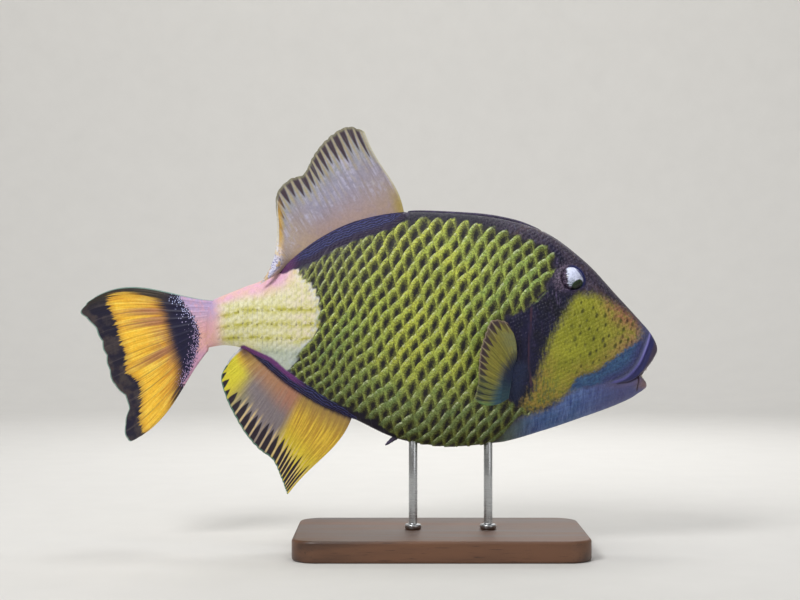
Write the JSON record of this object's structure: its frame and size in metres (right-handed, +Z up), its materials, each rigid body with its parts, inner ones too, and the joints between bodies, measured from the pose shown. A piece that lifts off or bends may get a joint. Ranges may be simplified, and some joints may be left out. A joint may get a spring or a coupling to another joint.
{
  "type": "titan triggerfish model on a display stand",
  "caption": "Still life-size model of a swimming titan triggerfish, deep-bodied with raised dorsal and anal fins, held over a flat base by short rods.",
  "frame": {"origin": "middle of the underside of the stand's base, on the surface that it stands on", "axes": "+X towards the snout, +Z up, -Y out of the fish's right side"},
  "size_m": [0.608, 0.18, 0.4406],
  "materials": {
    "skin": "wet fish skin: dark purple head, olive cheek with dark spots, lavender throat, cream tail root",
    "scales": "yellow-green plate scales with dark centres",
    "fin_grey": "lavender-beige fin membrane with pale rays, dark streaks and a thin yellow margin",
    "fin_yellow": "orange-yellow fin membrane with brown rays and dark margin bands",
    "eye": "glossy eye with a white upper ring and a dark green iris",
    "teeth": "cream enamel",
    "spine": "dark rough bone under skin",
    "stand_wood": "oiled dark walnut",
    "stand_steel": "brushed stainless steel"
  },
  "bodies": {
    "root": {"head": "skin", "lower_jaw": "skin", "trunk": "scales", "peduncle": "skin", "eye_right": "eye", "eye_left": "eye", "upper_teeth": "teeth", "lower_teeth": "teeth", "dorsal_spines": "spine", "pelvic_spine": "spine", "dorsal_fin": "fin_grey", "anal_fin": "fin_yellow", "caudal_fin": "fin_yellow", "pectoral_fin_right": "fin_yellow", "pectoral_fin_left": "fin_yellow", "stand_base": "stand_wood", "stand_rod_rear": "stand_steel", "stand_rod_front": "stand_steel"}
  },
  "joints": []
}
